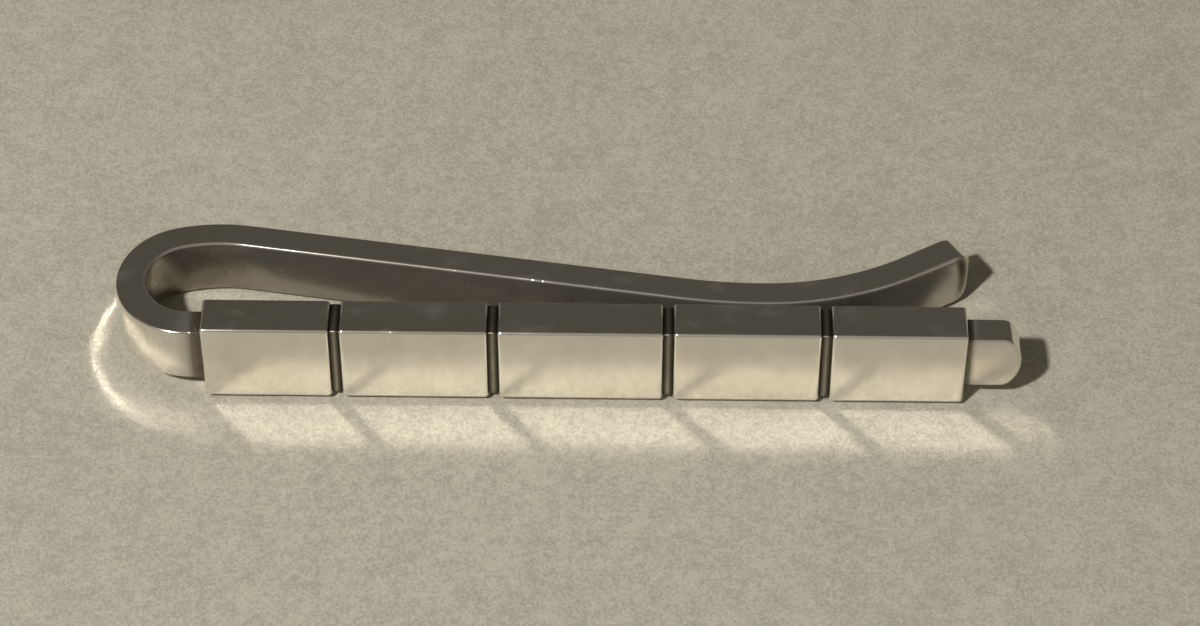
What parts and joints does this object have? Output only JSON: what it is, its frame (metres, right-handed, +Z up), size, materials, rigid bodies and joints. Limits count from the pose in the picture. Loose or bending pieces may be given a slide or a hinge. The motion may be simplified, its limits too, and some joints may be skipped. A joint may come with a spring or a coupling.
{
  "type": "tie clip",
  "caption": "Polished silver tie clip: a flat strip bent as a hairpin spring, with a bar of rectangular blocks parted by narrow dark grooves on its front leg and a flared spring arm behind.",
  "frame": {"origin": "middle of the centre block's lower side, on the table that the clip stands on", "axes": "+X along the clip towards the tongue and the open end, +Y from the front faces towards the spring arm, +Z up across the strip's width"},
  "size_m": [0.0542, 0.0099, 0.0058],
  "materials": {
    "polished_silver": "polished silver with fine wear scratches",
    "oxidised_silver": "silver left dark by tarnish in the grooves"
  },
  "bodies": {
    "bar": {"front_strip": "polished_silver", "hairpin_bend": "polished_silver", "left_end_block": "polished_silver", "left_middle_block": "polished_silver", "centre_block": "polished_silver", "right_middle_block": "polished_silver", "right_end_block": "polished_silver", "first_spacer": "oxidised_silver", "second_spacer": "oxidised_silver", "third_spacer": "oxidised_silver", "fourth_spacer": "oxidised_silver"},
    "arm": {"spring_arm": "polished_silver"}
  },
  "joints": [
    {"name": "arm_flex", "type": "hinge", "parent": "bar", "child": "arm", "pos_m": [-0.02573, 0.00391, 0.00287], "axis": [0, 0, 1], "range_deg": [-1.2, 5], "stiffness_Nm_per_rad": 7.2, "deforming": ["hairpin_bend"]}
  ]
}
